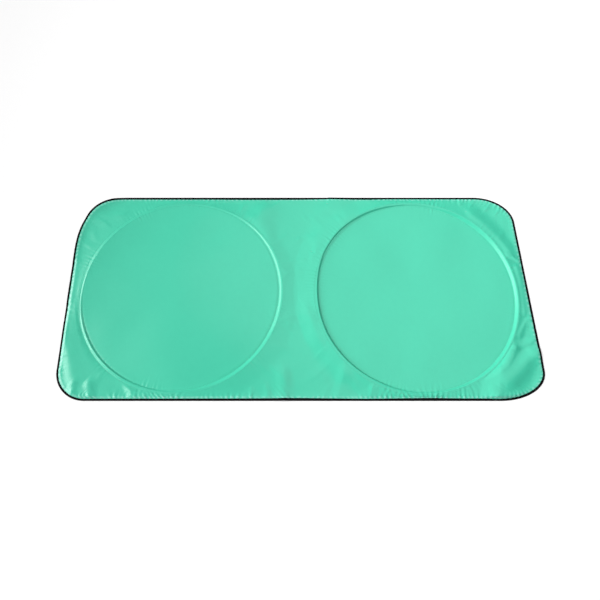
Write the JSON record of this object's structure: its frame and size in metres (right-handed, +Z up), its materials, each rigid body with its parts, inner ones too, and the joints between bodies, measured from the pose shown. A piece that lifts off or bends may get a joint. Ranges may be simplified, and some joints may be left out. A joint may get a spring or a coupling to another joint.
{
  "type": "windscreen sunshade",
  "caption": "Pop-up windscreen sunshade: coated cloth panel with sewn-in spring wire hoops and a bound edge, opened out flat.",
  "frame": {"origin": "middle of the outline's box, on the surface that the opened sunshade lies on", "axes": "+X to the right along the long edge, +Y towards the top edge, +Z up out of the green face"},
  "size_m": [1.5138, 0.7016, 0.009],
  "materials": {
    "green_cloth": "satin coated polyester, mint green on top and silver behind",
    "silver_tape": "silver coated woven tape",
    "black_binding": "matt ribbed binding tape",
    "green_thread": "twisted sewing thread",
    "black_thread": "twisted sewing thread",
    "spring_steel": "bright drawn wire",
    "crimped_sleeve": "satin"
  },
  "bodies": {
    "root": {"panel": "green_cloth", "edge_binding": "black_binding", "binding_seam": "black_thread", "casing_tape_left": "silver_tape", "casing_tape_right": "silver_tape", "hoop_wire_left": "spring_steel", "hoop_wire_right": "spring_steel", "hoop_sleeve_left": "crimped_sleeve", "hoop_sleeve_right": "crimped_sleeve", "inner_seam_left": "green_thread", "inner_seam_right": "green_thread", "outer_seam_left": "green_thread", "outer_seam_right": "green_thread"}
  },
  "joints": []
}
